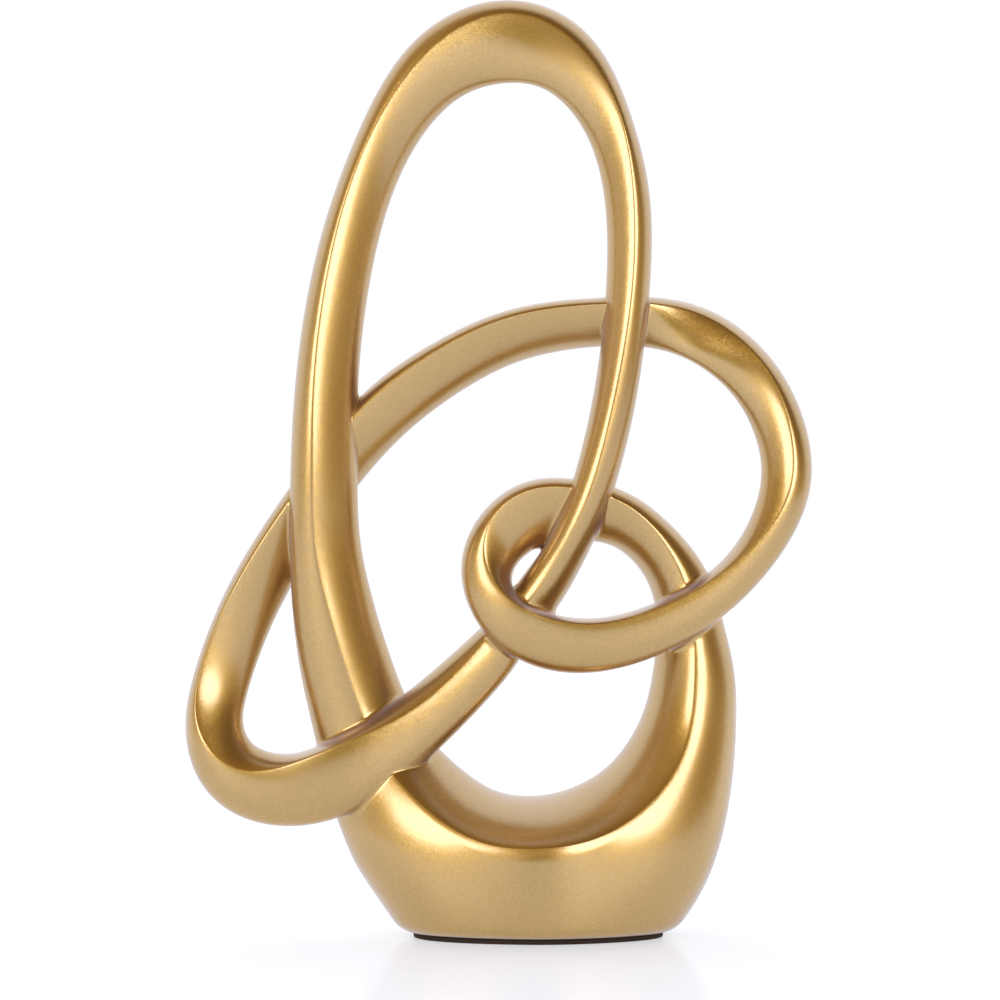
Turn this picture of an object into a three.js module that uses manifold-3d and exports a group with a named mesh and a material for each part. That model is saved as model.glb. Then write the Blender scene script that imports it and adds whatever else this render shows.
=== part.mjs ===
// Table-top knot sculpture, cast in resin and painted gold.
// One endless strand makes three turns, crosses itself six times and swells into a bowl-shaped base.
// It is cast as four arcs, which meet end to end behind the crossings, on steel dowels.
// Millimetres, +Z up, the front faces -Y, the origin is the middle of the foot on the table.
import * as THREE from 'three';
import { mergeVertices } from 'three/addons/utils/BufferGeometryUtils.js';
import Module from 'manifold-3d';

// Size of the strand's path: across from the left loop to the right loop, and up from the middle of
// the base to the crown.
const PATH_WIDTH = 182.5;
const PATH_HEIGHT = 256;

// Strand section: a soft diamond with a crisp ridge in front and behind, and rounded edges.
const RIDGE_POWER = 1.5;
const SECTION_POINTS = 16;
const SECTION_STEP = 8;
const LEAST_STEP_SHARE = 0.4;
const DIVISIONS_PER_STATION = 24;

// How the castings are put together.
const GLUE_LINE = 0.3;
const FILLET_REACH = 1.4;
const CROSSING_MARGIN = 5.5;

// Steel dowels in the hidden butt joints.
const DOWEL_DIAMETER = 3;
const DOWEL_LENGTH = 22;
const BASE_DOWEL_DIAMETER = 5;
const BASE_DOWEL_LENGTH = 30;
const BASE_DOWEL_SPACING = 16;
const RING_DOWEL_OFFSET = -2.5;
const ARC_DOWEL_OFFSET = -2;
const LEG_DOWEL_OFFSET = 1.5;
const DOWEL_CHAMFER = 0.5;
const DOWEL_SETBACK = 3.6;
const SOCKET_CLEARANCE = 0.3;
const SOCKET_END_SLACK = 1;
const DOWEL_SIDES = 12;

// Foot: its rounded edge, and the pad under its flat.
const FOOT_ROUNDING = 3.5;
const ROUNDING_STEPS = 4;
const PAD_THICKNESS = 1.5;
const PAD_INSET = 0.5;

// Stations along the strand, in the order that it runs: to the right under the base, then always
// turning left. Each gives a point inside the strand, in a drawing that is stretched to the path's
// width and height. It also gives how far the strand reaches from there to its outer and its inner
// edge, half its depth, and how far the ridge lies towards the inner edge. The lean is how far forward
// the section slopes towards its inner edge. Under the base the outer reach runs on below the table,
// where the foot is cut flat. There the section is also fuller on its outer side, which makes the base
// round, and leaner on its inner side, which makes the bowl's rim crisp.
const STATIONS = [
  // name, x, y, z, outer, inner, half depth, ridge, lean, and how full the outer and inner sides are
  ['base middle', 0, 0, 31, 75, 13.8, 31, 0, 0, 1.35, 0.8],
  ['bowl right low', 13.5, 0.5, 33, 52, 15, 29, 0, 0, 1.35, 0.8],
  ['bowl right', 28.5, 1, 40.5, 35, 15.5, 24, 0, -0.1, 1.2, 0.85],
  ['arm low', 44.5, 3, 59, 17.5, 16.5, 18, 1, -0.15],
  ['arm middle', 48, 4, 81.5, 13.5, 13.5, 14.5, 0.5, -0.15],
  ['arm behind loop', 47, 4, 98, 11, 11, 12.5, -0.5, -0.1],
  ['arm high', 43.5, 4, 113, 9.5, 9.5, 11, -1, -0.1],
  ['arm turn', 34, 4, 126.5, 8.4, 8.4, 10, -3, -0.15],
  ['arm top', 22, 3.5, 134.5, 9, 9, 9, -5, -0.2],
  ['ring top', 11.5, 3.5, 136, 10, 9.5, 9, -7, -0.2],
  ['ring shoulder', -1.5, 2.5, 136, 10.7, 10.5, 9, -7.5, -0.2],
  ['ring left high', -13, 0, 129, 9.8, 9.8, 9, -6.5, -0.2],
  ['ring left', -18.5, -3, 117.5, 8.5, 8.2, 9, -0.5, -0.15],
  ['ring turn', -14.5, -6.5, 103.5, 7.7, 7.4, 8.5, 5.5, -0.1],
  ['ring bottom', -1.5, -7, 95.5, 9, 8.5, 8.5, 7, -0.1],
  ['ring exit', 18, -7.5, 94, 8.9, 8.2, 8.5, 6.5, -0.15],
  ['loop over arm', 43, -7, 102.5, 7.8, 7.2, 8.5, 5.5, -0.2],
  ['loop low', 64, -5.5, 118.5, 6.6, 6.6, 8.5, 3.5, -0.2],
  ['loop right low', 76, -3.5, 139.5, 7.7, 7.7, 8.5, -0.5, -0.15],
  ['loop right', 77, -1.5, 156.5, 8.1, 8.1, 8.5, -2, -0.1],
  ['loop right high', 68, 1.5, 178, 8.6, 8.6, 8.5, -4.5, 0.15],
  ['loop top', 49, 3, 193.5, 9, 9, 8.5, -5.8, 0.45],
  ['arc behind leg', 27.5, 4, 197.5, 7.9, 7.9, 8.5, -5.2, -0.1],
  ['arc right', -5, 3.5, 194.5, 8, 8.4, 8.5, -5.2, -0.35],
  ['arc middle', -28, 3.5, 185, 8.6, 8.9, 8.5, -5.5, -0.3],
  ['arc left', -51, 3.5, 169, 8.9, 9.6, 8.5, -5, -0.25],
  ['arc behind left leg', -70.5, 3.5, 145.5, 8.6, 8.6, 8.5, -5.2, -0.4],
  ['left side', -94, 2, 108.5, 8.8, 9.1, 8.5, -6, -0.25],
  ['left turn', -105.5, -2, 77.5, 8.7, 9.5, 8.5, -6, -0.05],
  ['left bottom', -105.5, -5, 64, 9.6, 9.3, 9.5, -3.5, -0.05],
  ['left corner', -98, -7.5, 52, 11, 10.5, 9.5, 2, -0.15],
  ['diagonal foot', -80, -9.5, 48, 12, 10.8, 9.5, 8, -0.2],
  ['diagonal over base', -60.5, -9.5, 55, 12.4, 11, 9.5, 8.5, -0.15],
  ['diagonal middle', -36.5, -5.5, 71, 9.6, 10.6, 8.5, 5, -0.1],
  ['diagonal high', -16, 0, 92, 8.6, 8.2, 8.5, 4.5, -0.1],
  ['leg behind ring', -11, 1, 98, 7.5, 7.5, 8, 3.5, 0],
  ['leg low', -2, 0.5, 109.5, 7.4, 7.7, 8, 1, 0.12],
  ['leg knee', 7, -1.5, 124, 6.7, 6.7, 8, 0.8, 0.2],
  ['leg over ring', 14, -3.5, 140, 6.7, 6.7, 8, 0.5, 0.1],
  ['leg middle', 22, -3.5, 171, 6.9, 6.9, 8.5, 0.5, -0.1],
  ['leg over arc', 26.5, -3.5, 207, 7, 7, 8.5, -1, -0.12],
  ['leg high', 26.5, -3, 237.5, 7, 7.5, 8.5, -1.5, -0.12],
  ['shoulder right', 19.5, -2, 262.5, 8, 8, 8.5, -4, -0.05],
  ['crown right', 6.5, -1, 280.5, 11.8, 11, 8.5, -6, 0.1],
  ['crown', -11, 0, 287, 14, 13, 9, -8.5, 0.1],
  ['crown left', -33, -0.5, 279.5, 12, 11.5, 9, -5.5, -0.1],
  ['shoulder left', -52, -1.5, 254, 9, 9.1, 9, -4.2, -0.15],
  ['left leg high', -64, -3, 218.5, 9.2, 9.2, 9.5, -4, -0.1],
  ['left leg middle', -70, -3.5, 178, 10, 10, 10, -3.5, -0.15],
  ['left leg over arc', -71, -3.5, 146, 10.7, 10.7, 10, -3, -0.18],
  ['left leg low', -70.5, -2.5, 123.5, 11.4, 11.4, 10, -2.5, -0.17],
  ['left leg flare', -65, 0.5, 90, 14.5, 14.2, 12, 0.5, -0.17],
  ['left leg behind diagonal', -55.5, 3.5, 60, 18.2, 16.5, 15, 2, -0.17],
  ['bowl left', -43.5, 2.5, 47.5, 28.8, 15, 20, 0, -0.15, 1.1, 0.85],
  ['bowl left low', -22, 0.5, 33, 45, 14.4, 28, 0, -0.05, 1.35, 0.8],
];

// The four castings, each from one hidden butt joint to the next.
const CASTINGS = [
  { name: 'tall_loop_casting', from: 'leg behind ring', to: 'left leg behind diagonal' },
  { name: 'base_casting', from: 'left leg behind diagonal', to: 'ring top' },
  { name: 'ring_loop_casting', from: 'ring top', to: 'arc behind leg' },
  { name: 'left_loop_casting', from: 'arc behind leg', to: 'leg behind ring' },
];

// The six crossings: the strand in front, and the strand behind that is coped to fit it.
const CROSSINGS = [
  { name: 'fillet_leg_over_ring', front: 'leg over ring', rear: 'ring top' },
  { name: 'fillet_ring_over_leg', front: 'ring turn', rear: 'leg behind ring' },
  { name: 'fillet_loop_over_arm', front: 'loop over arm', rear: 'arm behind loop' },
  { name: 'fillet_leg_over_arc', front: 'leg over arc', rear: 'arc behind leg' },
  { name: 'fillet_left_leg_over_arc', front: 'left leg over arc', rear: 'arc behind left leg' },
  { name: 'fillet_diagonal_over_base', front: 'diagonal over base', rear: 'left leg behind diagonal' },
];

// The dowels of each butt joint, with how far each lies from the strand's middle.
const DOWELS = [
  {
    name: 'dowel_base_inner',
    joint: 'left leg behind diagonal',
    across: BASE_DOWEL_SPACING / 2,
    stout: true,
  },
  {
    name: 'dowel_base_outer',
    joint: 'left leg behind diagonal',
    across: -BASE_DOWEL_SPACING / 2,
    stout: true,
  },
  { name: 'dowel_ring_top', joint: 'ring top', across: RING_DOWEL_OFFSET, stout: false },
  { name: 'dowel_arc', joint: 'arc behind leg', across: ARC_DOWEL_OFFSET, stout: false },
  { name: 'dowel_leg', joint: 'leg behind ring', across: LEG_DOWEL_OFFSET, stout: false },
];

const GOLD_PAINT = { color: '#b88d45', roughness: 0.34, metalness: 0.85 };
const FILLER_PAINT = { color: '#b58a43', roughness: 0.38, metalness: 0.85 };
const STEEL = { color: '#9a9da1', roughness: 0.3, metalness: 1 };
const DARK_FOAM = { color: '#2b2622', roughness: 0.95, metalness: 0 };

const wasm = await Module();
wasm.setup();

// The strand's path and sizes, as closed curves through the stations.
const count = STATIONS.length;
const drawn = STATIONS.map(([, x, y, z]) => new THREE.Vector3(x, y, z));
const { min: drawnLow, max: drawnHigh } = new THREE.Box3().setFromPoints(drawn);
const stretch = new THREE.Vector3(
  PATH_WIDTH / (drawnHigh.x - drawnLow.x),
  1,
  PATH_HEIGHT / (drawnHigh.z - drawnLow.z),
);
const still = new THREE.Vector3(0, 0, drawnLow.z);
const path = new THREE.CatmullRomCurve3(
  drawn.map((point) => point.clone().sub(still).multiply(stretch).add(still)),
  true,
);
const reach = new THREE.CatmullRomCurve3(
  STATIONS.map(([, , , , outer, inner, half]) => new THREE.Vector3(outer, inner, half)),
  true,
  'catmullrom',
);
const crest = new THREE.CatmullRomCurve3(
  STATIONS.map(([, , , , , , , ridge, lean]) => new THREE.Vector3(ridge, lean, 0)),
  true,
  'catmullrom',
);
const fullness = new THREE.CatmullRomCurve3(
  STATIONS.map(([, , , , , , , , , outer = 1, inner = 1]) => new THREE.Vector3(outer, inner, 0)),
  true,
  'catmullrom',
);
path.arcLengthDivisions = count * DIVISIONS_PER_STATION;
const lengths = path.getLengths();
const strandLength = lengths[lengths.length - 1];

// A place on the strand is a station's number, with a fraction between stations.
const placeOf = (name) => STATIONS.findIndex((station) => station[0] === name);
const wrap = (value, size) => ((value % size) + size) % size;

function lengthAt(place) {
  const step = wrap(place, count) * DIVISIONS_PER_STATION;
  const low = Math.floor(step);
  const high = Math.min(low + 1, lengths.length - 1);
  return THREE.MathUtils.lerp(lengths[low], lengths[high], step - low);
}

// The place that lies a distance along the strand from another.
function placeAway(place, distance) {
  const along = wrap(lengthAt(place) + distance, strandLength);
  const found = path.getUtoTmapping(0, along) * count;
  const turns = Math.round((place - found) / count);
  return found + turns * count;
}

// The axes of the section at a place: along the strand, to its front and to its inner edge.
function axesAt(place) {
  const t = wrap(place, count) / count;
  const along = path.getTangent(t);
  const front = new THREE.Vector3(0, -1, 0).addScaledVector(along, along.y).normalize();
  const inner = new THREE.Vector3().crossVectors(front, along);
  return { t, centre: path.getPoint(t), along, front, inner };
}

// A section's outline from the front ridge round by the inner edge, grown outwards all round.
function sectionOutline(t, growth) {
  const { x: outer, y: inner, z: half } = reach.getPoint(t);
  const { x: ridge, y: lean } = crest.getPoint(t);
  const { x: outerFull, y: innerFull } = fullness.getPoint(t);
  const outline = [];
  for (let k = 0; k < SECTION_POINTS; k += 1) {
    const angle = (2 * Math.PI * k) / SECTION_POINTS;
    const [side, face] = [Math.sin(angle), Math.cos(angle)];
    const span = side > 0 ? inner - ridge : outer + ridge;
    const full = side > 0 ? innerFull : outerFull;
    const across = ridge + Math.sign(side) * span * Math.abs(side) ** (2 / RIDGE_POWER / full);
    const depth = Math.sign(face) * half * Math.abs(face) ** (1 / full);
    outline.push(new THREE.Vector2(across, depth + lean * across));
  }
  return outline.map((corner, k) => {
    const before = outline[wrap(k - 1, SECTION_POINTS)];
    const after = outline[wrap(k + 1, SECTION_POINTS)];
    const normalIn = new THREE.Vector2(before.y - corner.y, corner.x - before.x).normalize();
    const normalOut = new THREE.Vector2(corner.y - after.y, after.x - corner.x).normalize();
    const mitre = growth / (1 + normalIn.dot(normalOut));
    return corner.clone().addScaledVector(normalIn, mitre).addScaledVector(normalOut, mitre);
  });
}

// The places of the sections between two places, closer together where the stations are.
function placesBetween(from, to) {
  const places = [from];
  for (let gap = Math.floor(from); gap < to; gap += 1) {
    const steps = Math.ceil(wrap(lengthAt(gap + 1) - lengthAt(gap), strandLength) / SECTION_STEP);
    for (let k = 0; k < steps; k += 1) {
      const place = gap + k / steps;
      const margin = LEAST_STEP_SHARE / steps;
      if (place > from + margin && place < to - margin) places.push(place);
    }
  }
  places.push(to);
  return places;
}

// A length of strand as a solid: sections lofted into each other and closed by flat ends.
function strandBetween(from, to, growth) {
  const places = placesBetween(from, to);
  const corners = [];
  for (const place of places) {
    const { t, centre, front, inner } = axesAt(place);
    for (const { x, y } of sectionOutline(t, growth)) {
      const corner = centre.clone().addScaledVector(inner, x).addScaledVector(front, y);
      corners.push(corner.x, corner.y, corner.z);
    }
  }
  const faces = [];
  for (let row = 0; row + 1 < places.length; row += 1) {
    for (let k = 0; k < SECTION_POINTS; k += 1) {
      const next = (k + 1) % SECTION_POINTS;
      const a = row * SECTION_POINTS + k;
      const b = row * SECTION_POINTS + next;
      faces.push(a, a + SECTION_POINTS, b + SECTION_POINTS, a, b + SECTION_POINTS, b);
    }
  }
  const last = (places.length - 1) * SECTION_POINTS;
  for (let k = 1; k + 1 < SECTION_POINTS; k += 1) {
    faces.push(0, k, k + 1, last, last + k + 1, last + k);
  }
  const geometry = new THREE.BufferGeometry();
  geometry.setAttribute('position', new THREE.Float32BufferAttribute(corners, 3));
  geometry.setIndex(faces);
  return solidOf(geometry);
}

// How far a crossing runs along its strands: past the edges of both, on the slant, and a margin.
function crossingReach({ front, rear }) {
  const [over, under] = [front, rear].map((name) => axesAt(placeOf(name)));
  const [overReach, underReach] = [over, under].map(({ t }) => reach.getPoint(t));
  const widths = overReach.x + overReach.y + underReach.x + underReach.y;
  const square = over.along.clone().cross(under.along).length();
  return widths / 2 / square + CROSSING_MARGIN;
}

// The strand on both sides of a station, as far as a crossing reaches.
function strandAround(name, distance, growth) {
  const place = placeOf(name);
  return strandBetween(placeAway(place, -distance), placeAway(place, distance), growth);
}

function solidOf(geometry) {
  const bare = geometry.clone();
  bare.deleteAttribute('normal');
  bare.deleteAttribute('uv');
  const merged = mergeVertices(bare);
  return new wasm.Manifold(
    new wasm.Mesh({
      numProp: 3,
      vertProperties: new Float32Array(merged.attributes.position.array),
      triVerts: new Uint32Array(merged.index.array),
    }),
  );
}

function geometryOf(solid) {
  const { vertProperties, triVerts } = solid.getMesh();
  const geometry = new THREE.BufferGeometry();
  geometry.setAttribute('position', new THREE.BufferAttribute(vertProperties, 3));
  geometry.setIndex(new THREE.BufferAttribute(triVerts, 1));
  geometry.computeVertexNormals();
  return geometry;
}

function namedMesh(name, geometry, finish) {
  const mesh = new THREE.Mesh(geometry, new THREE.MeshStandardMaterial(finish));
  mesh.name = name;
  return mesh;
}

// A block whose top lies at a height, wide enough to pass all the way under the base.
function blockBelow(top, height) {
  const block = new THREE.BoxGeometry(strandLength, strandLength, height);
  return solidOf(block.translate(0, 0, top - height / 2));
}

// A dowel's size and the place and direction that it and its socket take.
function dowelFit({ joint, across, stout }) {
  const { t, centre, along, front, inner } = axesAt(placeOf(joint));
  const depth = crest.getPoint(t).y * across - DOWEL_SETBACK;
  const middle = centre.clone().addScaledVector(inner, across).addScaledVector(front, depth);
  const turn = new THREE.Quaternion().setFromUnitVectors(new THREE.Vector3(0, 1, 0), along);
  return {
    radius: (stout ? BASE_DOWEL_DIAMETER : DOWEL_DIAMETER) / 2,
    length: stout ? BASE_DOWEL_LENGTH : DOWEL_LENGTH,
    middle,
    turn,
  };
}

function dowelMesh(dowel) {
  const { radius, length, middle, turn } = dowelFit(dowel);
  const profile = [
    [0, -length / 2],
    [radius - DOWEL_CHAMFER, -length / 2],
    [radius, DOWEL_CHAMFER - length / 2],
    [radius, length / 2 - DOWEL_CHAMFER],
    [radius - DOWEL_CHAMFER, length / 2],
    [0, length / 2],
  ].map(([x, y]) => new THREE.Vector2(x, y));
  const mesh = namedMesh(dowel.name, new THREE.LatheGeometry(profile, DOWEL_SIDES), STEEL);
  mesh.position.copy(middle);
  mesh.quaternion.copy(turn);
  return mesh;
}

function dowelSocket(dowel) {
  const { radius, length, middle, turn } = dowelFit(dowel);
  const bore = radius + SOCKET_CLEARANCE;
  const socket = new THREE.CylinderGeometry(bore, bore, length + 2 * SOCKET_END_SLACK, DOWEL_SIDES);
  return solidOf(socket.applyQuaternion(turn).translate(middle.x, middle.y, middle.z));
}

// A casting: its arc of strand, coped round the strands in front and bored for its dowels.
function castingSolid({ name, from, to }) {
  const start = placeOf(from);
  const end = placeOf(to) + (placeOf(to) < start ? count : 0);
  let solid = strandBetween(placeAway(start, GLUE_LINE / 2), placeAway(end, -GLUE_LINE / 2), 0);
  for (const crossing of CROSSINGS) {
    const isBehind = wrap(placeOf(crossing.rear) - start, count) <= end - start;
    if (!isBehind) continue;
    solid = solid.subtract(strandAround(crossing.front, crossingReach(crossing), GLUE_LINE));
  }
  for (const dowel of DOWELS) {
    if (dowel.joint === from || dowel.joint === to) solid = solid.subtract(dowelSocket(dowel));
  }
  return solid;
}

// A bead of filler all round the seam of a crossing, as far as it reaches up both strands.
function filletSolid(crossing) {
  const distance = crossingReach(crossing);
  const [front, rear] = [crossing.front, crossing.rear];
  return strandAround(front, distance, FILLET_REACH)
    .intersect(strandAround(rear, distance, FILLET_REACH))
    .subtract(strandAround(front, distance, GLUE_LINE))
    .subtract(strandAround(rear, distance, GLUE_LINE));
}

// The strand of the base alone, drawn in all round.
function baseStrand(inset) {
  return strandBetween(placeOf('bowl left'), placeOf('bowl right') + count, -inset);
}

// What is cut away under the base: everything below its rounded edge, except for a foot that draws in
// from the edge's top to the flat. The foot is the hull of level slices.
function footCut() {
  const flat = PAD_THICKNESS + GLUE_LINE;
  const outline = [];
  for (let k = 0; k <= ROUNDING_STEPS; k += 1) {
    const angle = (Math.PI / 2) * (k / ROUNDING_STEPS);
    const height = flat + FOOT_ROUNDING * (1 - Math.cos(angle));
    const slice = baseStrand(FOOT_ROUNDING * (1 - Math.sin(angle))).slice(height);
    for (const [x, y] of slice.toPolygons().flat()) outline.push([x, y, height]);
  }
  return blockBelow(flat + FOOT_ROUNDING, strandLength).subtract(wasm.Manifold.hull(outline));
}

// The pad follows the outline of the flat foot, a little inside it.
function padSolid() {
  const shape = baseStrand(FOOT_ROUNDING + PAD_INSET).slice(PAD_THICKNESS + GLUE_LINE);
  return shape.extrude(PAD_THICKNESS);
}

const sculpture = new THREE.Group();
const underBase = footCut();
for (const casting of CASTINGS) {
  const solid = castingSolid(casting).subtract(underBase);
  sculpture.add(namedMesh(casting.name, geometryOf(solid), GOLD_PAINT));
}
for (const crossing of CROSSINGS) {
  sculpture.add(namedMesh(crossing.name, geometryOf(filletSolid(crossing)), FILLER_PAINT));
}
for (const dowel of DOWELS) sculpture.add(dowelMesh(dowel));
sculpture.add(namedMesh('foot_pad', geometryOf(padSolid()), DARK_FOAM));

export default sculpture;
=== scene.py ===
# %% [markdown]
# # A knot sculpture in gold paint
# The real object is a table-top ornament, cast in resin and sprayed with a satin gold paint. One endless
# strand makes three turns, crosses itself six times and swells into a bowl-shaped base. The frame that is
# loaded first holds its solids at their real size. They are faceted, so this script makes each piece
# again as a smooth surface in the same place, and then gives it its finish.

# %% Frame
import math

import bmesh
import bpy
import numpy as np
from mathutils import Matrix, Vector
from mathutils.bvhtree import BVHTree


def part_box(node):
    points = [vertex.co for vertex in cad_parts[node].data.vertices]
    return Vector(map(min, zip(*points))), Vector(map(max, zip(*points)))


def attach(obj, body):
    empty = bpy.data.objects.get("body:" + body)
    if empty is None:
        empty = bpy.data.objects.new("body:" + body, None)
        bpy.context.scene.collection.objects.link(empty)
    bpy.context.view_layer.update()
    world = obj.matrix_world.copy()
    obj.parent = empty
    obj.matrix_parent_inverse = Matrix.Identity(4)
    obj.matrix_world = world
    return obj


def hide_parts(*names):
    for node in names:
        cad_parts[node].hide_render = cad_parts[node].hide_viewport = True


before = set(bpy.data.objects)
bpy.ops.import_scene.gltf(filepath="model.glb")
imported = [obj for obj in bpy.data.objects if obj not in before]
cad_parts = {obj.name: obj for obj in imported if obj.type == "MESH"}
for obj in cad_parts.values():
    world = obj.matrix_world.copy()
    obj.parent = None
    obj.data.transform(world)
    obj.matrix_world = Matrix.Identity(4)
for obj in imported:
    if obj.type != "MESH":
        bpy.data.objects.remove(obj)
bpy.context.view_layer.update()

MM = 0.001
print("nodes:", ", ".join(sorted(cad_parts)))

# %% [markdown]
# ## Camera
# The photograph was taken with a long lens from about a metre away, level with the middle of the knot.
# A camera that is level keeps the upright strands upright, so no shift or tilt is needed.

# %% Camera
CAMERA_PLACE = Vector((-14.5, -1000, 139.8)) * MM
FRAME_PIXELS = 1000
FOCAL_PIXELS = 3103.7
SENSOR_WIDTH = 36

camera_data = bpy.data.cameras.new("camera")
camera_data.sensor_width = SENSOR_WIDTH
camera_data.lens = SENSOR_WIDTH * FOCAL_PIXELS / FRAME_PIXELS
camera = bpy.data.objects.new("camera", camera_data)
camera.location = CAMERA_PLACE
camera.rotation_euler = (math.radians(90), 0, 0)
bpy.context.scene.collection.objects.link(camera)
bpy.context.scene.camera = camera
print("lens in mm:", round(camera_data.lens, 1))

# %% [markdown]
# ## The strand
# A sculptor would bend one rod for the whole knot and file it to shape. Here the rod is a closed curve
# through stations, which are the same as those of the solids. Each station gives a point inside the
# strand, how far the strand reaches to its outer and to its inner edge, half its depth, and how far its
# front ridge lies towards the inner edge, all in millimetres. The lean is how far forward the section
# slopes towards its inner edge. Under the base two more numbers make the section fuller on its outer side
# and leaner on its inner side. A cubic spline through the stations has no kinks, and a little smoothing
# along the strand takes out what the rounding of the numbers puts in.

# %% Stations
STATIONS = {
    # name: x, y, z, outer, inner, half depth, ridge, lean, and how full the outer and inner sides are
    "base middle": (0, 0, 31, 75, 13.8, 31, 0, 0, 1.35, 0.8),
    "bowl right low": (13.5, 0.5, 33, 52, 15, 29, 0, 0, 1.35, 0.8),
    "bowl right": (28.5, 1, 40.5, 35, 15.5, 24, 0, -0.1, 1.2, 0.85),
    "arm low": (44.5, 3, 59, 17.5, 16.5, 18, 1, -0.15),
    "arm middle": (48, 4, 81.5, 13.5, 13.5, 14.5, 0.5, -0.15),
    "arm behind loop": (47, 4, 98, 11, 11, 12.5, -0.5, -0.1),
    "arm high": (43.5, 4, 113, 9.5, 9.5, 11, -1, -0.1),
    "arm turn": (34, 4, 126.5, 8.4, 8.4, 10, -3, -0.15),
    "arm top": (22, 3.5, 134.5, 9, 9, 9, -5, -0.2),
    "ring top": (11.5, 3.5, 136, 10, 9.5, 9, -7, -0.2),
    "ring shoulder": (-1.5, 2.5, 136, 10.7, 10.5, 9, -7.5, -0.2),
    "ring left high": (-13, 0, 129, 9.8, 9.8, 9, -6.5, -0.2),
    "ring left": (-18.5, -3, 117.5, 8.5, 8.2, 9, -0.5, -0.15),
    "ring turn": (-14.5, -6.5, 103.5, 7.7, 7.4, 8.5, 5.5, -0.1),
    "ring bottom": (-1.5, -7, 95.5, 9, 8.5, 8.5, 7, -0.1),
    "ring exit": (18, -7.5, 94, 8.9, 8.2, 8.5, 6.5, -0.15),
    "loop over arm": (43, -7, 102.5, 7.8, 7.2, 8.5, 5.5, -0.2),
    "loop low": (64, -5.5, 118.5, 6.6, 6.6, 8.5, 3.5, -0.2),
    "loop right low": (76, -3.5, 139.5, 7.7, 7.7, 8.5, -0.5, -0.15),
    "loop right": (77, -1.5, 156.5, 8.1, 8.1, 8.5, -2, -0.1),
    "loop right high": (68, 1.5, 178, 8.6, 8.6, 8.5, -4.5, 0.15),
    "loop top": (49, 3, 193.5, 9, 9, 8.5, -5.8, 0.45),
    "arc behind leg": (27.5, 4, 197.5, 7.9, 7.9, 8.5, -5.2, -0.1),
    "arc right": (-5, 3.5, 194.5, 8, 8.4, 8.5, -5.2, -0.35),
    "arc middle": (-28, 3.5, 185, 8.6, 8.9, 8.5, -5.5, -0.3),
    "arc left": (-51, 3.5, 169, 8.9, 9.6, 8.5, -5, -0.25),
    "arc behind left leg": (-70.5, 3.5, 145.5, 8.6, 8.6, 8.5, -5.2, -0.4),
    "left side": (-94, 2, 108.5, 8.8, 9.1, 8.5, -6, -0.25),
    "left turn": (-105.5, -2, 77.5, 8.7, 9.5, 8.5, -6, -0.05),
    "left bottom": (-105.5, -5, 64, 9.6, 9.3, 9.5, -3.5, -0.05),
    "left corner": (-98, -7.5, 52, 11, 10.5, 9.5, 2, -0.15),
    "diagonal foot": (-80, -9.5, 48, 12, 10.8, 9.5, 8, -0.2),
    "diagonal over base": (-60.5, -9.5, 55, 12.4, 11, 9.5, 8.5, -0.15),
    "diagonal middle": (-36.5, -5.5, 71, 9.6, 10.6, 8.5, 5, -0.1),
    "diagonal high": (-16, 0, 92, 8.6, 8.2, 8.5, 4.5, -0.1),
    "leg behind ring": (-11, 1, 98, 7.5, 7.5, 8, 3.5, 0),
    "leg low": (-2, 0.5, 109.5, 7.4, 7.7, 8, 1, 0.12),
    "leg knee": (7, -1.5, 124, 6.7, 6.7, 8, 0.8, 0.2),
    "leg over ring": (14, -3.5, 140, 6.7, 6.7, 8, 0.5, 0.1),
    "leg middle": (22, -3.5, 171, 6.9, 6.9, 8.5, 0.5, -0.1),
    "leg over arc": (26.5, -3.5, 207, 7, 7, 8.5, -1, -0.12),
    "leg high": (26.5, -3, 237.5, 7, 7.5, 8.5, -1.5, -0.12),
    "shoulder right": (19.5, -2, 262.5, 8, 8, 8.5, -4, -0.05),
    "crown right": (6.5, -1, 280.5, 11.8, 11, 8.5, -6, 0.1),
    "crown": (-11, 0, 287, 14, 13, 9, -8.5, 0.1),
    "crown left": (-33, -0.5, 279.5, 12, 11.5, 9, -5.5, -0.1),
    "shoulder left": (-52, -1.5, 254, 9, 9.1, 9, -4.2, -0.15),
    "left leg high": (-64, -3, 218.5, 9.2, 9.2, 9.5, -4, -0.1),
    "left leg middle": (-70, -3.5, 178, 10, 10, 10, -3.5, -0.15),
    "left leg over arc": (-71, -3.5, 146, 10.7, 10.7, 10, -3, -0.18),
    "left leg low": (-70.5, -2.5, 123.5, 11.4, 11.4, 10, -2.5, -0.17),
    "left leg flare": (-65, 0.5, 90, 14.5, 14.2, 12, 0.5, -0.17),
    "left leg behind diagonal": (-55.5, 3.5, 60, 18.2, 16.5, 15, 2, -0.17),
    "bowl left": (-43.5, 2.5, 47.5, 28.8, 15, 20, 0, -0.15, 1.1, 0.85),
    "bowl left low": (-22, 0.5, 33, 45, 14.4, 28, 0, -0.05, 1.35, 0.8),
}
SAMPLES = 4096
FINE_SAMPLES = 8 * SAMPLES
SMOOTHING = 5 * MM


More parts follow.
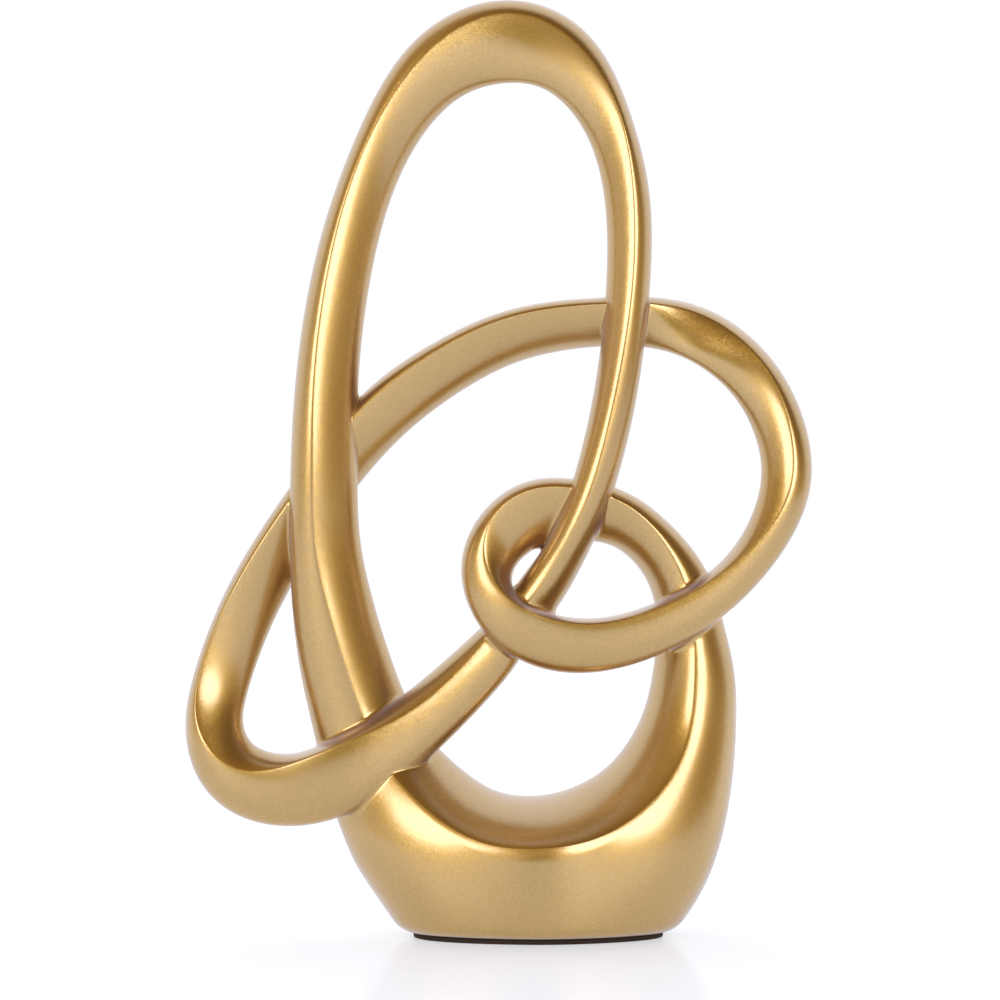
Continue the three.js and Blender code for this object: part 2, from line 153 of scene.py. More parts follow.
def closed_spline(knots, values, at):
    """The smooth closed curve through the values, at the given places between the knots."""
    gaps = np.diff(knots)[:, None]
    count = len(gaps)
    slopes = (np.roll(values, -1, 0) - values) / gaps
    matrix = np.zeros((count, count))
    for k in range(count):
        matrix[k, k - 1] = gaps[k - 1, 0]
        matrix[k, k] = 2 * (gaps[k - 1, 0] + gaps[k, 0])
        matrix[k, (k + 1) % count] = gaps[k, 0]
    bends = np.linalg.solve(matrix, 6 * (slopes - np.roll(slopes, 1, 0)))
    low = np.clip(np.searchsorted(knots, at, side="right") - 1, 0, count - 1)
    high = (low + 1) % count
    right = ((at - knots[low]) / gaps[low, 0])[:, None]
    left = 1 - right
    curve = (left**3 - left) * bends[low] + (right**3 - right) * bends[high]
    return left * values[low] + right * values[high] + curve * gaps[low] ** 2 / 6


def smoothed(track, step):
    """A closed track with its short waves taken out and its long ones left as they are."""
    waves = np.fft.rfftfreq(len(track), step)
    kept = np.exp(-2 * (math.pi * waves * SMOOTHING) ** 2)
    kept = kept * (2 - kept)
    return np.fft.irfft(np.fft.rfft(track, axis=0) * kept[:, None], len(track), axis=0)


LENGTH_COLUMNS = 7
ALL_COLUMNS = 10
USUAL_FULLNESS = (1, 1)
station_values = np.array([(*row, *USUAL_FULLNESS)[:ALL_COLUMNS] for row in STATIONS.values()])
station_values[:, :LENGTH_COLUMNS] *= MM
chords = np.linalg.norm(np.roll(station_values, -1, 0)[:, :3] - station_values[:, :3], axis=1)
knots = np.concatenate([[0], np.cumsum(np.sqrt(chords))])
fine_places = np.linspace(0, knots[-1], FINE_SAMPLES + 1)
fine_points = closed_spline(knots, station_values, fine_places)[:, :3]
fine_lengths = np.concatenate([[0], np.cumsum(np.linalg.norm(np.diff(fine_points, axis=0), axis=1))])
STRAND_LENGTH = fine_lengths[-1]
SAMPLE_STEP = STRAND_LENGTH / SAMPLES
even_places = np.interp(np.arange(SAMPLES) * SAMPLE_STEP, fine_lengths, fine_places)
track = smoothed(closed_spline(knots, station_values, even_places), SAMPLE_STEP)
station_lengths = dict(zip(STATIONS, np.interp(knots[:-1], fine_places, fine_lengths)))
print("strand length in mm:", round(STRAND_LENGTH / MM))

# %% [markdown]
# ## The section
# Cut through, the strand is a soft diamond: a crisp ridge runs along its front and its back, and its
# outer and inner edges are round. A superellipse with an exponent between that of a diamond and that of
# an ellipse gives both. The ridge moves sideways along the strand, so each half has its own width. The
# outward direction at a place comes from two short steps over the surface, along the strand and round it.

# %% Section and surface
RIDGE_POWER = 1.5
SHORT_LENGTH = 0.2 * MM
SHORT_TURN = 0.01


def along_track(lengths):
    """The strand's values at lengths along it."""
    place = (lengths / SAMPLE_STEP) % SAMPLES
    low = np.floor(place).astype(int) % SAMPLES
    share = (place - np.floor(place))[:, None]
    return track[low] * (1 - share) + track[(low + 1) % SAMPLES] * share


def axes_at(lengths):
    """Directions along the strand, to its front and to its inner edge."""
    ahead, behind = (along_track(lengths + side * SAMPLE_STEP)[:, :3] for side in (1, -1))
    along = (ahead - behind) / np.linalg.norm(ahead - behind, axis=1)[:, None]
    front = np.array([0, -1, 0]) + along * along[:, 1:2]
    front /= np.linalg.norm(front, axis=1)[:, None]
    return along, front, np.cross(front, along)


def surface(lengths, turns, growth=0):
    """Points of the strand's surface at lengths along it and turns round its section, in radians."""
    values = along_track(lengths)
    outer, inner, half, ridge, lean, outer_full, inner_full = values[:, 3:].T
    _, front, across_axis = axes_at(lengths)
    side, face = np.sin(turns), np.cos(turns)
    span = np.where(side > 0, inner - ridge, outer + ridge) + growth
    full = np.where(side > 0, inner_full, outer_full)
    across = ridge + np.sign(side) * span * np.abs(side) ** (2 / RIDGE_POWER / full)
    depth = (half + growth) * np.sign(face) * np.abs(face) ** (1 / full) + lean * across
    return values[:, :3] + across_axis * across[:, None] + front * depth[:, None]


def surface_normals(lengths, turns):
    """Outward directions of the strand's surface at the same places."""
    along = surface(lengths + SHORT_LENGTH, turns) - surface(lengths - SHORT_LENGTH, turns)
    around = surface(lengths, turns + SHORT_TURN) - surface(lengths, turns - SHORT_TURN)
    normals = np.cross(along, around)
    return normals / np.linalg.norm(normals, axis=1)[:, None]


middle_point = surface(np.array([0.0]), np.array([0.0]))[0]
print("front ridge over the middle of the foot, in mm:", np.round(middle_point / MM, 1))

# %% [markdown]
# ## From surface to mesh
# A casting is a length of strand between two butt joints. Its mesh is a row of rings, and each end is
# closed by a flat face. Two narrow rows of faces beside each end make the shading run on smoothly from
# one casting into the next, as the painted strand does.

# %% Strand meshes
RING_POINTS = 96
RING_STEP = 1.2 * MM
END_ROWS = np.array([0, 0.05, 0.15]) * MM


def ring_lengths(start, end):
    """Lengths along the strand at which its rings lie."""
    count = round((end - start) / RING_STEP)
    inside = np.linspace(start, end, count + 1)[1:-1]
    return np.concatenate([start + END_ROWS, inside, (end - END_ROWS)[::-1]])


def strand_grid(lengths, points, growth=0):
    """Points of the surface, ring by ring, and the faces between the rings."""
    turns = np.linspace(0, 2 * math.pi, points, endpoint=False)
    grid = surface(np.repeat(lengths, points), np.tile(turns, len(lengths)), growth)
    index = np.arange(len(lengths) * points).reshape(len(lengths), points)
    ahead = np.roll(index, -1, 1)
    quads = np.stack([index[:-1], index[1:], ahead[1:], ahead[:-1]], -1).reshape(-1, 4)
    return grid, quads.tolist()


def new_piece(name, points, faces):
    """A smooth-shaded mesh object with its faces pointing out."""
    mesh = bpy.data.meshes.new(name)
    mesh.from_pydata([tuple(point) for point in points], [], faces)
    work = bmesh.new()
    work.from_mesh(mesh)
    bmesh.ops.recalc_face_normals(work, faces=work.faces)
    work.to_mesh(mesh)
    work.free()
    mesh.shade_smooth()
    piece = bpy.data.objects.new(name, mesh)
    bpy.context.scene.collection.objects.link(piece)
    return piece


def strand_piece(name, start, end, growth=0):
    """A closed length of strand."""
    lengths = ring_lengths(start, end)
    points, faces = strand_grid(lengths, RING_POINTS, growth)
    caps = [list(range(RING_POINTS)), list(range(len(points) - RING_POINTS, len(points)))]
    return new_piece(name, points, faces + caps)


def apply_modifier(piece, kind, **settings):
    """Adds a modifier and makes its result the piece's own mesh."""
    modifier = piece.modifiers.new(kind.lower(), kind)
    for key, value in settings.items():
        setattr(modifier, key, value)
    with bpy.context.temp_override(object=piece, active_object=piece):
        bpy.ops.object.modifier_apply(modifier=modifier.name)


print("rings in the whole strand:", round(STRAND_LENGTH / RING_STEP))

# %% [markdown]
# ## Castings
# The knot is cast as four arcs, because a closed knot can't leave a mould in one piece. They meet end to
# end behind the crossings. Where a strand passes behind another it is coped, which means hollowed out to
# fit, so the front strand, made thicker by the glue line, is subtracted from it.

# %% Castings
CASTINGS = {
    "tall_loop": ("tall_loop_casting", "leg behind ring", "left leg behind diagonal"),
    "base": ("base_casting", "left leg behind diagonal", "ring top"),
    "ring_loop": ("ring_loop_casting", "ring top", "arc behind leg"),
    "left_loop": ("left_loop_casting", "arc behind leg", "leg behind ring"),
}
CROSSINGS = {
    # fillet: front station, rear station, widest radius of the fillet in mm, castings behind
    "leg_over_ring": ("leg over ring", "ring top", 3.2, ("base", "ring_loop")),
    "ring_over_leg": ("ring turn", "leg behind ring", 3.4, ("left_loop", "tall_loop")),
    "loop_over_arm": ("loop over arm", "arm behind loop", 3.2, ("base",)),
    "leg_over_arc": ("leg over arc", "arc behind leg", 1.6, ("ring_loop", "left_loop")),
    "left_leg_over_arc": ("left leg over arc", "arc behind left leg", 1.6, ("left_loop",)),
    "diagonal_over_base": ("diagonal over base", "left leg behind diagonal", 3.2, ("tall_loop", "base")),
}
GLUE_LINE = 0.15 * MM
COPE_REACH = {"left_leg_over_arc": 41 * MM, "diagonal_over_base": 36 * MM}
USUAL_COPE_REACH = 25 * MM
SEARCH_STEP = 0.5 * MM


def crossing_lengths(front, rear):
    """The lengths along the strand at which two stretches of it cross, seen from the front."""
    search = np.arange(-USUAL_COPE_REACH, USUAL_COPE_REACH, SEARCH_STEP)
    front_lengths = station_lengths[front] + search
    rear_lengths = station_lengths[rear] + search
    front_places = along_track(front_lengths)[:, [0, 2]]
    rear_places = along_track(rear_lengths)[:, [0, 2]]
    gaps = np.linalg.norm(front_places[:, None] - rear_places[None], axis=2)
    nearest = np.unravel_index(np.argmin(gaps), gaps.shape)
    return front_lengths[nearest[0]], rear_lengths[nearest[1]]


pieces = {}
for name, (node, first, last) in CASTINGS.items():
    start, end = station_lengths[first], station_lengths[last]
    end += STRAND_LENGTH if end < start else 0
    pieces[name] = strand_piece(name, start, end)
    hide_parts(node)

for crossing, (front, rear, _, behind) in CROSSINGS.items():
    reach = COPE_REACH.get(crossing, USUAL_COPE_REACH)
    middle, _ = crossing_lengths(front, rear)
    cutter = strand_piece("cutter", middle - reach, middle + reach, GLUE_LINE)
    for name in behind:
        apply_modifier(pieces[name], "BOOLEAN", operation="DIFFERENCE", solver="EXACT", object=cutter)
    bpy.data.objects.remove(cutter)
print("castings:", {name: len(piece.data.polygons) for name, piece in pieces.items()})

# %% [markdown]
# ## Foot
# The foot is ground flat and its edge is rounded off, so that it doesn't chip. Level cuts give the mesh
# a row of points at each height of the rounding, and each row is then drawn in as a quarter circle asks.

# %% Foot
FOOT_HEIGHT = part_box("base_casting")[0].z
FOOT_ROUNDING = 3.5 * MM
ROUNDING_STEPS = 8
SHARP_ANGLE = math.radians(40)

base_work = bmesh.new()
base_work.from_mesh(pieces["base"].data)
for step in range(ROUNDING_STEPS, -1, -1):
    height = FOOT_HEIGHT + FOOT_ROUNDING * (1 - math.cos(math.pi / 2 * step / ROUNDING_STEPS))
    everything = base_work.verts[:] + base_work.edges[:] + base_work.faces[:]
    cut = bmesh.ops.bisect_plane(
        base_work, geom=everything, plane_co=(0, 0, height), plane_no=(0, 0, 1), clear_inner=step == 0)
foot_edges = [part for part in cut["geom_cut"] if isinstance(part, bmesh.types.BMEdge)]
foot_points = {vert for edge in foot_edges for vert in edge.verts}
base_work.normal_update()
draws = {}
for vert in base_work.verts:
    share = max(vert.co.z - FOOT_HEIGHT, 0) / FOOT_ROUNDING
    if share < 1:
        outward = Vector((vert.normal.x, vert.normal.y, 0)).normalized()
        draws[vert] = outward * FOOT_ROUNDING * (1 - math.sqrt(1 - (1 - share) ** 2))
for vert, draw in draws.items():
    vert.co -= draw
foot_outline = [vert.co.copy() for vert in foot_points]
bmesh.ops.edgeloop_fill(base_work, edges=foot_edges)
bmesh.ops.recalc_face_normals(base_work, faces=base_work.faces)
base_work.to_mesh(pieces["base"].data)
base_work.free()
for piece in pieces.values():
    piece.data.set_sharp_from_angle(angle=SHARP_ANGLE)
print("points round the foot:", len(foot_outline))

# %% [markdown]
# ## The edges of the fillets
# After the castings are glued, filler is smoothed into each crossing with a fingertip. A bevel needs one
# mesh with a clean edge along the seam, and the castings stay separate pieces. So a ball is rolled round
# each crossing instead: where it touches both strands, the filler starts and ends. In the narrow wedge
# where two strands part, the ball would stick, so it shrinks there little by little.

# %% Rolling ball
TREE_STEP = 0.4 * MM
TREE_POINTS = 2 * RING_POINTS
RAYS = 360
RAY_STEPS = 120
FARTHEST_TURN = 0.99 * math.pi
LEAST_RADIUS = 1.2 * MM
RADIUS_STEPS = 6
SHRINKING_RAYS = 14


def strand_tree(middle, reach):
    """A search tree of the strand's surface near a crossing, with fine faces."""
    points, faces = strand_grid(np.arange(middle - reach, middle + reach, TREE_STEP), TREE_POINTS)
    return BVHTree.FromPolygons([Vector(point) for point in points], faces)


def gap_to(tree, point):
    """Distance from a point to a surface, less than nothing inside it."""
    nearest, normal, _, distance = tree.find_nearest(Vector(point))
    side = (Vector(point) - nearest).dot(normal)
    return distance if side > 0 else -distance


def ball_centre(middle, reach, angle, radius, rear_tree):
    """Where a ball that rolls out over the front strand's rear side comes free of the rear strand."""
    shares = np.linspace(0, 1, RAY_STEPS)
    lengths = middle + shares * reach * math.cos(angle)
    turns = math.pi + shares * FARTHEST_TURN * math.sin(angle)
    balls = surface(lengths, turns) + radius * surface_normals(lengths, turns)
    gaps = np.array([gap_to(rear_tree, ball) - radius for ball in balls])
    clear = np.flatnonzero((gaps[:-1] < 0) & (gaps[1:] >= 0))
    if not len(clear):
        return None
    last = clear[0]
    share = gaps[last] / (gaps[last] - gaps[last + 1])
    return balls[last] * (1 - share) + balls[last + 1] * share


def fitting_radius(middle, reach, angle, widest, rear_tree):
    """The largest radius, down to the least one, with which the ball comes free on this ray."""
    for radius in np.linspace(widest, LEAST_RADIUS, RADIUS_STEPS):
        if ball_centre(middle, reach, angle, radius, rear_tree) is not None:
            return radius
    return LEAST_RADIUS


def ball_centres(middle, reach, widest, rear_tree):
    """Centres of the ball all round a crossing. It shrinks where the strands leave it too little room."""
    angles = np.linspace(0, 2 * math.pi, RAYS, endpoint=False)
    fitting = [fitting_radius(middle, reach, angle, widest, rear_tree) for angle in angles]
    near = np.arange(-SHRINKING_RAYS, SHRINKING_RAYS + 1)
    least = np.array([np.take(fitting, k + near, mode="wrap").min() for k in range(RAYS)])
    gradual = np.array([np.take(least, k + near, mode="wrap").mean() for k in range(RAYS)])
    rays = zip(angles, gradual)
    found = [ball_centre(middle, reach, angle, radius, rear_tree) for angle, radius in rays]
    return np.array([centre for centre in found if centre is not None])


print("rays round each crossing:", RAYS)

# %% [markdown]
# ## The fillets
# Between the two touches the filler follows a curve that leaves each strand without a bend. A plain arc
# would bend at once, and a reflection that crosses it would break there, while the painted crossings look
# poured. Behind its face each fillet has a root, which fills the seam between the castings.

# %% Fillets
FILLET_ROWS = 300
ROW_SMOOTHING = 0.25  # in radii of the ball
TREE_MARGIN = 4  # in radii of the ball
CURVE_POINTS = 16
ROOT_DEPTH = 0.6 * MM
DEEPEST_CORNER = 2.5  # in radii of the ball


def even_loop(points, count, spread):
    """A closed loop of points, spaced evenly and smoothed."""
    closed = np.vstack([points, points[:1]])
    lengths = np.concatenate([[0], np.cumsum(np.linalg.norm(np.diff(closed, axis=0), axis=1))])
    at = np.linspace(0, lengths[-1], count, endpoint=False)
    even = np.stack([np.interp(at, lengths, closed[:, k]) for k in range(3)], 1)
    waves = np.fft.rfftfreq(count, lengths[-1] / count)
    kept = np.exp(-2 * (math.pi * waves * spread) ** 2)
    return np.fft.irfft(np.fft.rfft(even, axis=0) * kept[:, None], count, axis=0)


def fillet_piece(name, front, rear, widest):
    """A closed ring of filler: its poured face, and a root that reaches down into the seam."""
    reach = COPE_REACH.get(name, USUAL_COPE_REACH)
    front_middle, rear_middle = crossing_lengths(front, rear)
    front_tree = strand_tree(front_middle, reach + TREE_MARGIN * widest)
    rear_tree = strand_tree(rear_middle, reach + TREE_MARGIN * widest)
    centres = ball_centres(front_middle, reach, widest, rear_tree)
    centres = even_loop(centres, FILLET_ROWS, ROW_SMOOTHING * widest)
    shares = (1 - np.cos(np.linspace(0, math.pi, CURVE_POINTS))) / 2
    points = []
    for centre in centres:
        touches = [np.array(tree.find_nearest(Vector(centre))[0]) for tree in (front_tree, rear_tree)]
        radii = [np.linalg.norm(touch - centre) for touch in touches]
        units = [(touch - centre) / radius for touch, radius in zip(touches, radii)]
        inward = (units[0] + units[1]) / np.linalg.norm(units[0] + units[1])
        half_opening = math.acos(np.clip(units[0] @ units[1], -1, 1)) / 2
        corner = centre + inward * min(radii) * min(1 / math.cos(half_opening), DEEPEST_CORNER)
        for share in shares:
            pull = 3 * share * (1 - share)
            points.append(touches[0] * (1 - share) ** 3 + corner * pull + touches[1] * share**3)
        points.append(corner + inward * ROOT_DEPTH)
    width = CURVE_POINTS + 1
    index = np.arange(FILLET_ROWS * width).reshape(FILLET_ROWS, width)
    right, below = np.roll(index, -1, 1), np.roll(index, -1, 0)
    quads = np.stack([index, right, np.roll(below, -1, 1), below], -1).reshape(-1, 4)
    piece = new_piece("fillet_" + name, np.array(points), quads.tolist())
    piece.data.set_sharp_from_angle(angle=SHARP_ANGLE)
    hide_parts("fillet_" + name)
    return piece


fillets = {}
for crossing, (front, rear, widest, _) in CROSSINGS.items():
    fillets[crossing] = fillet_piece(crossing, front, rear, widest * MM)
print("fillets:", {name: len(piece.data.polygons) for name, piece in fillets.items()})

# %% [markdown]
# ## Foot pad
# A thin foam pad is stuck under the foot, so that it doesn't scratch the table. It follows the foot's
# outline a little inside it.

# %% Foot pad
PAD_INSET = 0.5 * MM
PAD_ROUNDING = 0.35 * MM
CORNER_SHARE = 0.3  # how far the middle of a rounded corner lies in from each side
PAD_POINTS = 160
pad_low, pad_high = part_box("foot_pad")

foot_middle = sum(foot_outline, Vector()) / len(foot_outline)
foot_spokes = [point - foot_middle for point in foot_outline]
foot_angles = np.array([math.atan2(spoke.y, spoke.x) for spoke in foot_spokes])
foot_radii = np.array([spoke.length for spoke in foot_spokes])
order = np.argsort(foot_angles)
pad_angles = np.linspace(-math.pi, math.pi, PAD_POINTS, endpoint=False)
pad_radii = np.interp(pad_angles, foot_angles[order], foot_radii[order], period=2 * math.pi) - PAD_INSET
pad_profile = [
    (PAD_ROUNDING, pad_low.z),
    (PAD_ROUNDING * CORNER_SHARE, pad_low.z + PAD_ROUNDING * CORNER_SHARE),
    (0, pad_low.z + PAD_ROUNDING),
    (0, pad_high.z - PAD_ROUNDING),
    (PAD_ROUNDING * CORNER_SHARE, pad_high.z - PAD_ROUNDING * CORNER_SHARE),
    (PAD_ROUNDING, pad_high.z),
]
pad_points = []
for inset, height in pad_profile:
    pad_x = foot_middle.x + (pad_radii - inset) * np.cos(pad_angles)
    pad_y = foot_middle.y + (pad_radii - inset) * np.sin(pad_angles)
    pad_points.extend(zip(pad_x, pad_y, np.full(PAD_POINTS, height)))
pad_index = np.arange(len(pad_points)).reshape(len(pad_profile), PAD_POINTS)
pad_ahead = np.roll(pad_index, -1, 1)
pad_corners = [pad_index[:-1], pad_ahead[:-1], pad_ahead[1:], pad_index[1:]]
pad_sides = np.stack(pad_corners, -1).reshape(-1, 4).tolist()
pad = new_piece("pad", pad_points, pad_sides + [pad_index[0].tolist(), pad_index[-1].tolist()])
pad.data.set_sharp_from_angle(angle=SHARP_ANGLE)
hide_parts("foot_pad")
print("pad size in mm:", [round(value / MM, 1) for value in pad.dimensions])

# %% [markdown]
# ## Finishes
# One function turns a colour as it is written on screens into the linear colour that the renderer mixes,
# and one adds a node with its settings and links.

# %% Helpers for finishes


def linear(code):
    """The linear colour of an sRGB hex value."""
    parts = [int(code[k : k + 2], 16) / 255 for k in (1, 3, 5)]
    return (*[p / 12.92 if p <= 0.04045 else ((p + 0.055) / 1.055) ** 2.4 for p in parts], 1)


def add_node(tree, kind, values=(), links=(), **settings):
    """Adds a node, sets its properties and its sockets' values, and links sockets of it from others."""
    node = tree.nodes.new(kind)
    for key, value in settings.items():
        setattr(node, key, value)
    for socket, value in dict(values).items():
        node.inputs[socket].default_value = value
    for socket, source in dict(links).items():
        tree.links.new(source, node.inputs[socket])
    return node


def new_finish(name):
    """A material with its tree cleared, and its tree's output node."""
    material = bpy.data.materials.new(name)
    material.use_nodes = True
    material.node_tree.nodes.clear()
    return material, add_node(material.node_tree, "ShaderNodeOutputMaterial")


print("a middle grey as linear light:", round(linear("#808080")[0], 3))

# %% [markdown]
# ## Gold paint
# The knot is sprayed with a paint of tiny bronze flakes in clear lacquer. The flakes make it a metal to
# the eye. They don't lie quite level and don't all have one shade, so each catches the light by itself
# and the broad faces show a fine grain. The lacquer lies over them as a coat with its own, whiter
# highlight. It dries with a faint orange peel, and dry mist from the spray gun settles on it, which
# turns pale where the eye grazes the surface. A metal under a coat and a sheen has all of these layers.

# %% Gold paint
FLAKE_SIZE = 0.35 * MM  # real flakes are ten times finer, and would not show
FLAKE_TILT = 0.08
PEEL_SIZE = 2.5 * MM
PEEL_DEPTH = 0.006 * MM

gold, gold_output = new_finish("sprayed_satin_gold_paint")
tree = gold.node_tree
places = add_node(tree, "ShaderNodeTexCoord")
flakes = add_node(
    tree, "ShaderNodeTexVoronoi", values={"Scale": 1 / FLAKE_SIZE},
    links={"Vector": places.outputs["Object"]})
flake_shade = add_node(tree, "ShaderNodeSeparateColor", links={"Color": flakes.outputs["Color"]})
flake_colour = add_node(
    tree, "ShaderNodeMix", data_type="RGBA", values={"A": linear("#b68f36"), "B": linear("#c69d42")},
    links={"Factor": flake_shade.outputs["Red"]})
peel = add_node(
    tree, "ShaderNodeTexNoise", values={"Scale": 1 / PEEL_SIZE, "Detail": 1.0},
    links={"Vector": places.outputs["Object"]})
peeled = add_node(
    tree, "ShaderNodeBump", values={"Distance": PEEL_DEPTH}, links={"Height": peel.outputs["Fac"]})
leaning = add_node(
    tree, "ShaderNodeVectorMath", operation="SUBTRACT", values={1: (0.5, 0.5, 0.5)},
    links={0: flakes.outputs["Color"]})
tilted = add_node(
    tree, "ShaderNodeVectorMath", operation="MULTIPLY_ADD", values={1: (FLAKE_TILT,) * 3},
    links={0: leaning.outputs["Vector"], 2: peeled.outputs["Normal"]})
level = add_node(tree, "ShaderNodeVectorMath", operation="NORMALIZE", links={0: tilted.outputs["Vector"]})
# Satin: the flakes blur a lamp to a broad gold band, and the lacquer keeps a paler, narrower one on it.
gold_shader = add_node(
    tree, "ShaderNodeBsdfPrincipled",
    values={
        "Metallic": 1.0, "Roughness": 0.33,
        "Coat Weight": 1.0, "Coat Roughness": 0.19, "Coat IOR": 2.1,
        "Sheen Weight": 0.75, "Sheen Roughness": 0.42, "Sheen Tint": linear("#efe8ff"),
    },
    links={"Base Color": flake_colour.outputs["Result"], "Normal": level.outputs["Vector"]})
tree.links.new(gold_shader.outputs["BSDF"], gold_output.inputs["Surface"])

for piece in [*pieces.values(), *fillets.values()]:
    piece.data.materials.append(gold)
    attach(piece, "root")
print("painted pieces:", len(pieces) + len(fillets))

# %% [markdown]
# ## Foam
# The pad is cut from a sheet of closed-cell foam, which is a rubber full of tiny bubbles. The cut edge
# shows the bubbles as small pits. A cell pattern gives the bump, and its darker cell middles are
# painted shade in the pits.

# %% Foam
FOAM_CELL = 0.5 * MM
FOAM_PIT = 0.08 * MM

foam, foam_output = new_finish("cut_closed_cell_foam")
tree = foam.node_tree
places = add_node(tree, "ShaderNodeTexCoord")
cells = add_node(
    tree, "ShaderNodeTexVoronoi", values={"Scale": 1 / FOAM_CELL},
    links={"Vector": places.outputs["Object"]})
# Painted shade: each cell is darker in its middle, where the pit lies, as if shade fell into it.
foam_colour_and_pit_shade = add_node(
    tree, "ShaderNodeMix", data_type="RGBA", values={"A": linear("#2a201a"), "B": linear("#46372d")},
    links={"Factor": cells.outputs["Distance"]})
pits = add_node(
    tree, "ShaderNodeBump", values={"Distance": FOAM_PIT}, links={"Height": cells.outputs["Distance"]})
# Matt: the open bubbles swallow nearly all light, so no highlight shows.
foam_shader = add_node(
    tree, "ShaderNodeBsdfPrincipled", values={"Roughness": 0.9},
    links={"Base Color": foam_colour_and_pit_shade.outputs["Result"], "Normal": pits.outputs["Normal"]})
tree.links.new(foam_shader.outputs["BSDF"], foam_output.inputs["Surface"])
pad.data.materials.append(foam)
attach(pad, "root")
print("pad finish:", foam.name)

# %% [markdown]
# ## Steel dowels
# The dowels hold the butt joints together inside the castings, so they show only when the knot is taken
# apart. They are cut from drawn rod. The die that the rod is pulled through leaves it bright, with fine
# marks that make its gloss uneven. Their solids are round enough, and only need the finish.

# %% Steel dowels
DRAW_MARK = 0.4 * MM

steel, steel_output = new_finish("bright_drawn_steel")
tree = steel.node_tree
places = add_node(tree, "ShaderNodeTexCoord")
marks = add_node(
    tree, "ShaderNodeTexNoise", values={"Scale": 1 / DRAW_MARK},
    links={"Vector": places.outputs["Object"]})
gloss = add_node(
    tree, "ShaderNodeMapRange", values={"To Min": 0.22, "To Max": 0.38},
    links={"Value": marks.outputs["Fac"]})
# Bright: a clear grey mirror, broken up a little by the marks.
steel_shader = add_node(
    tree, "ShaderNodeBsdfPrincipled", values={"Base Color": linear("#9a9da1"), "Metallic": 1.0},
    links={"Roughness": gloss.outputs["Result"]})
tree.links.new(steel_shader.outputs["BSDF"], steel_output.inputs["Surface"])
dowels = [node for name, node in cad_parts.items() if name.startswith("dowel_")]
for dowel in dowels:
    dowel.material_slots[0].material = steel
print("dowels:", len(dowels))

# %% [markdown]
# ## Room
# A satin metal shows the room that it stands in, so the room is part of its look. It is a pale studio
# with a dim, warm ceiling. Its right wall is further away and dimmer, and the photographer's dark place
# straight ahead draws a thin dark line along each upright ridge. The backdrop behind the knot is white,
# for the camera and for the metal alike.

# %% Room
scene = bpy.context.scene
scene.view_settings.view_transform = "Standard"
world = bpy.data.worlds.new("studio")
scene.world = world
world.use_nodes = True
tree = world.node_tree
tree.nodes.clear()
rays = add_node(tree, "ShaderNodeLightPath")
direction = add_node(tree, "ShaderNodeTexCoord")
parts = add_node(tree, "ShaderNodeSeparateXYZ", links={"Vector": direction.outputs["Generated"]})
right, back, up = (parts.outputs[axis] for axis in "XYZ")


def room_colour(first, changes):
    """A colour that gives way to others, each as one part of the direction goes from start to end."""
    colour = first
    for part, start, end, after in changes:
        share = add_node(
            tree, "ShaderNodeMapRange", interpolation_type="SMOOTHSTEP",
            values={"From Min": start, "From Max": end}, links={"Value": part})
        mix = add_node(tree, "ShaderNodeMix", data_type="RGBA", links={"Factor": share.outputs["Result"]})
        for socket, source in (("A", colour), ("B", after)):
            if isinstance(source, str):
                mix.inputs[socket].default_value = linear(source)
            else:
                tree.links.new(source, mix.inputs[socket])
        colour = mix.outputs["Result"]
    return colour


ceiling = room_colour("#96723c", [(right, 0, -0.45, "#bea474"), (right, 0, 0.4, "#785e36")])
room = room_colour("#e8dfd0", [
    (right, 0.6, 0.85, "#b89c6c"),  # the wall on the right
    (up, 0.08, 0.36, ceiling),
    (back, -0.97, -0.99, "#2a2720"),  # the dark place straight ahead
    (back, -0.2, 0.2, "#ffffff"),  # the backdrop
])
seen = add_node(
    tree, "ShaderNodeMix", data_type="RGBA", values={"B": linear("#ffffff")},
    links={"Factor": rays.outputs["Is Camera Ray"], "A": room})
background = add_node(tree, "ShaderNodeBackground", links={"Color": seen.outputs["Result"]})
add_node(tree, "ShaderNodeOutputWorld", links={"Surface": background.outputs["Background"]})
print("room nodes:", len(tree.nodes))

# %% [markdown]
# ## Soft boxes
# Two soft boxes stand on either side of the camera, a little above it. Each draws a pale band along the
# strands and a soft patch on either side of the base. A round lamp face gives the patches soft ends.

# %% Soft boxes
KNOT_MIDDLE = Vector((-14.5, 0, 140)) * MM
BOX_DISTANCE = 1.3


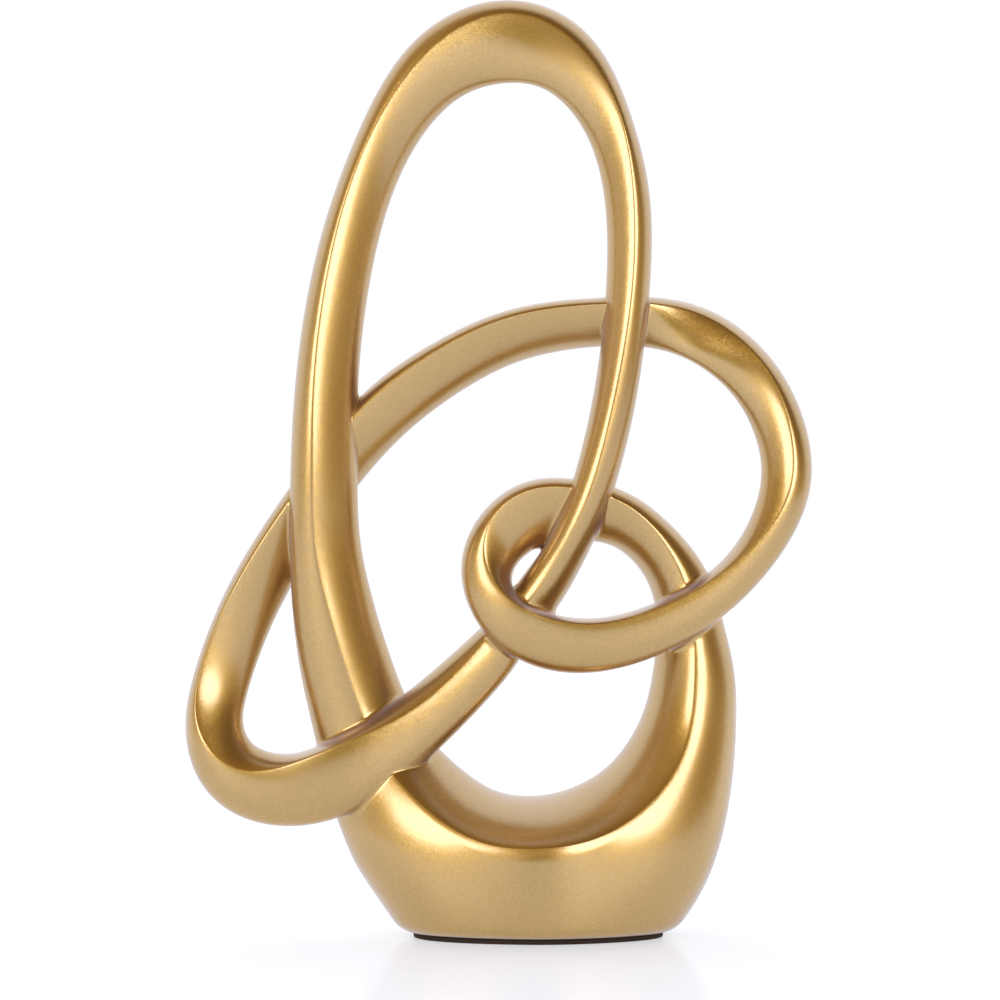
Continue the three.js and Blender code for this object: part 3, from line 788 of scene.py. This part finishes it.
def softbox(name, azimuth, height, size, radiance):
    """A flat oval lamp that faces the knot. Its azimuth counts in degrees to the right of the camera."""
    data = bpy.data.lights.new(name, "AREA")
    data.shape = "ELLIPSE"
    data.size, data.size_y = size
    face_area = math.pi / 4 * size[0] * size[1]
    data.energy = radiance * math.pi * face_area  # the watts at which the face has this brightness
    lamp = bpy.data.objects.new(name, data)
    angle = math.radians(azimuth)
    lamp.location = KNOT_MIDDLE + Vector((math.sin(angle), -math.cos(angle), 0)) * BOX_DISTANCE
    lamp.location.z = height
    lamp.rotation_euler = (KNOT_MIDDLE - lamp.location).to_track_quat("-Z", "Y").to_euler()
    scene.collection.objects.link(lamp)
    return lamp


boxes = [
    softbox("softbox_left", azimuth=-33, height=0.44, size=(0.70, 0.48), radiance=4.4),
    softbox("softbox_right", azimuth=27, height=0.42, size=(0.60, 0.52), radiance=4.8),
]
print("soft boxes in watts:", [round(lamp.data.energy, 1) for lamp in boxes])

# %% [markdown]
# ## Table
# The table is a white laminate with a satin face. It glows a little for the camera and in reflections, so
# that it is white without more light on the knot. It still takes the knot's shadow, and its gloss keeps a
# faint image of the base.

# %% Table
TABLE_WIDTH = 2.4
TABLE_DEPTH = 6
SEEN_GLOW = 0.49
MIRRORED_GLOW = 0.51

table_mesh = bpy.data.meshes.new("table")
corners = [(-1, -1), (1, -1), (1, 1), (-1, 1)]
table_points = [(x * TABLE_WIDTH / 2, y * TABLE_DEPTH / 2, 0) for x, y in corners]
table_mesh.from_pydata(table_points, [], [(0, 1, 2, 3)])
table = bpy.data.objects.new("table", table_mesh)
scene.collection.objects.link(table)

white, white_output = new_finish("pressed_satin_white_laminate")
tree = white.node_tree
rays = add_node(tree, "ShaderNodeLightPath")
seen_glow = add_node(
    tree, "ShaderNodeMath", operation="MULTIPLY", values={1: SEEN_GLOW},
    links={0: rays.outputs["Is Camera Ray"]})
glow = add_node(
    tree, "ShaderNodeMath", operation="MULTIPLY_ADD", values={1: MIRRORED_GLOW},
    links={0: rays.outputs["Is Glossy Ray"], 2: seen_glow.outputs["Value"]})
# Satin white: a cool white that takes soft shadows, and at a low angle a faint mirror.
white_shader = add_node(
    tree, "ShaderNodeBsdfPrincipled",
    values={
        "Base Color": linear("#d0d6ee"), "Roughness": 0.14, "Specular IOR Level": 0.012,
        "Emission Color": linear("#f6fbff"),
    },
    links={"Emission Strength": glow.outputs["Value"]})
tree.links.new(white_shader.outputs["BSDF"], white_output.inputs["Surface"])
table.data.materials.append(white)
print("table in m:", TABLE_WIDTH, "x", TABLE_DEPTH)
